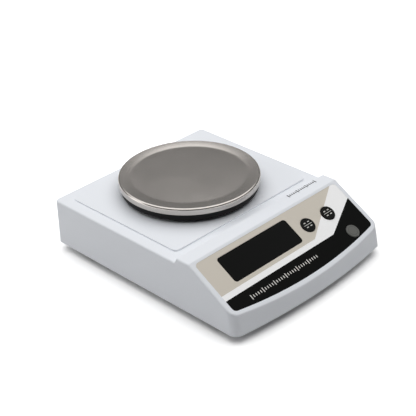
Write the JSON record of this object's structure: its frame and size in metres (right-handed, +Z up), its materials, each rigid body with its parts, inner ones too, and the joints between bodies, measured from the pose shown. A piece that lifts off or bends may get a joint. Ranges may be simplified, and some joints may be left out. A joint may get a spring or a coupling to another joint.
{
  "type": "electronic balance",
  "caption": "Top-loading electronic balance with a round steel pan, sloping display console, keys, levelling feet and a hook port for weighing below it.",
  "frame": {"origin": "on the table, under the middle of the housing", "axes": "+Z up, the display console faces -Y, +X to the right seen from the front"},
  "size_m": [0.1914, 0.234, 0.0685],
  "materials": {
    "housing_abs": "fine satin moulding, pale cool white",
    "base_abs": "moulded, dark grey",
    "overlay_film": "printed film, satin",
    "window_acrylic": "polished, nearly black",
    "module_resin": "moulded",
    "circuit_board": "solder resist",
    "zinc_steel": "zinc plated",
    "switch_resin": "moulded",
    "key_black": "satin",
    "key_grey": "satin",
    "machined_aluminium": "milled and anodised",
    "cast_aluminium": "die cast",
    "gauge_sealant": "silicone over foil",
    "stirrup_steel": "folded sheet",
    "hook_steel": "bent wire",
    "brass": "knurled",
    "support_plastic": "moulded, black",
    "pad_rubber": "soft",
    "pan_stainless": "spun, fine circular satin",
    "component_resin": "moulded",
    "socket_resin": "moulded",
    "port_shell": "nickel plated",
    "cable_sheath": "sheathed",
    "ribbon_sheath": "flat cable",
    "foot_plastic": "moulded, notched edge",
    "foot_rubber": "soft"
  },
  "bodies": {
    "base": {"top_housing": "housing_abs", "base_plate": "base_abs", "control_overlay": "overlay_film", "display_window": "window_acrylic", "led_module": "module_resin", "display_board": "circuit_board", "display_board_screws": "zinc_steel", "tact_switches": "switch_resin", "load_cell": "machined_aluminium", "strain_gauges": "gauge_sealant", "cell_spacer": "machined_aluminium", "cell_bolts": "zinc_steel", "overload_stop_screw": "zinc_steel", "overload_stop_nut": "zinc_steel", "port_cover_screw": "zinc_steel", "foot_inserts": "brass", "housing_screws": "zinc_steel", "main_board": "circuit_board", "main_board_screws": "zinc_steel", "main_board_parts": "component_resin", "dc_inlet": "socket_resin", "data_port": "port_shell", "data_port_posts": "zinc_steel", "cell_cable": "cable_sheath", "display_cable": "ribbon_sheath", "display_cable_plug": "component_resin"},
    "weighing": {"load_carrier": "cast_aluminium", "carrier_bolts": "zinc_steel", "hook_stirrup": "stirrup_steel", "stirrup_screws": "zinc_steel", "below_hook": "hook_steel"},
    "support": {"pan_support": "support_plastic", "support_pads": "pad_rubber"},
    "pan": {"weighing_pan": "pan_stainless"},
    "zero_key": {"zero_key": "key_black", "zero_key_plunger": "switch_resin"},
    "tare_key": {"tare_key": "key_black", "tare_key_plunger": "switch_resin"},
    "power_key": {"power_key": "key_grey", "power_key_plunger": "switch_resin"},
    "port_cover": {"port_cover": "base_abs"},
    "foot_pad_front_left": {"foot_pad_front_left": "foot_rubber"},
    "foot_wheel_front_left": {"foot_wheel_front_left": "foot_plastic"},
    "foot_pad_front_right": {"foot_pad_front_right": "foot_rubber"},
    "foot_wheel_front_right": {"foot_wheel_front_right": "foot_plastic"},
    "foot_pad_back_left": {"foot_pad_back_left": "foot_rubber"},
    "foot_wheel_back_left": {"foot_wheel_back_left": "foot_plastic"},
    "foot_pad_back_right": {"foot_pad_back_right": "foot_rubber"},
    "foot_wheel_back_right": {"foot_wheel_back_right": "foot_plastic"}
  },
  "joints": [
    {"name": "weigh_travel", "type": "slide", "parent": "base", "child": "weighing", "axis": [0, 0, -1], "range_m": [0, 0.0004], "stiffness_N_per_m": 32000, "springref_m": -0.0001, "deforming": ["load_cell"]},
    {"name": "support_lift", "type": "slide", "parent": "weighing", "child": "support", "axis": [0, 0, 1], "range_m": [0, 0.03]},
    {"name": "pan_lift", "type": "slide", "parent": "support", "child": "pan", "axis": [0, 0, 1], "range_m": [0, 0.04]},
    {"name": "port_cover_swivel", "type": "hinge", "parent": "base", "child": "port_cover", "pos_m": [0, 0.0152, 0.0091], "axis": [0, 0, 1], "range_deg": [0, 110]},
    {"name": "zero_key_press", "type": "slide", "parent": "base", "child": "zero_key", "axis": [0, 0.5015, -0.8652], "range_m": [0, 0.0005], "stiffness_N_per_m": 2500, "springref_m": -0.0004},
    {"name": "tare_key_press", "type": "slide", "parent": "base", "child": "tare_key", "axis": [0, 0.5015, -0.8652], "range_m": [0, 0.0005], "stiffness_N_per_m": 2500, "springref_m": -0.0004},
    {"name": "power_key_press", "type": "slide", "parent": "base", "child": "power_key", "axis": [0, 0.5015, -0.8652], "range_m": [0, 0.0005], "stiffness_N_per_m": 2500, "springref_m": -0.0004},
    {"name": "foot_front_left_height", "type": "slide", "parent": "base", "child": "foot_pad_front_left", "axis": [0, 0, -1], "range_m": [-0.0015, 0.004]},
    {"name": "foot_front_left_turn", "type": "hinge", "parent": "foot_pad_front_left", "child": "foot_wheel_front_left", "pos_m": [-0.08, -0.077, 0.003], "axis": [0, 0, -1], "range_deg": [-600, 1560]},
    {"name": "foot_front_right_height", "type": "slide", "parent": "base", "child": "foot_pad_front_right", "axis": [0, 0, -1], "range_m": [-0.0015, 0.004]},
    {"name": "foot_front_right_turn", "type": "hinge", "parent": "foot_pad_front_right", "child": "foot_wheel_front_right", "pos_m": [0.08, -0.077, 0.003], "axis": [0, 0, -1], "range_deg": [-600, 1560]},
    {"name": "foot_back_left_height", "type": "slide", "parent": "base", "child": "foot_pad_back_left", "axis": [0, 0, -1], "range_m": [-0.0015, 0.004]},
    {"name": "foot_back_left_turn", "type": "hinge", "parent": "foot_pad_back_left", "child": "foot_wheel_back_left", "pos_m": [-0.08, 0.08, 0.003], "axis": [0, 0, -1], "range_deg": [-600, 1560]},
    {"name": "foot_back_right_height", "type": "slide", "parent": "base", "child": "foot_pad_back_right", "axis": [0, 0, -1], "range_m": [-0.0015, 0.004]},
    {"name": "foot_back_right_turn", "type": "hinge", "parent": "foot_pad_back_right", "child": "foot_wheel_back_right", "pos_m": [0.08, 0.08, 0.003], "axis": [0, 0, -1], "range_deg": [-600, 1560]}
  ],
  "couplings": [
    {"joint": "foot_front_left_turn", "follows": "foot_front_left_height", "rad_per_m": 6283.2},
    {"joint": "foot_front_right_turn", "follows": "foot_front_right_height", "rad_per_m": 6283.2},
    {"joint": "foot_back_left_turn", "follows": "foot_back_left_height", "rad_per_m": 6283.2},
    {"joint": "foot_back_right_turn", "follows": "foot_back_right_height", "rad_per_m": 6283.2}
  ]
}
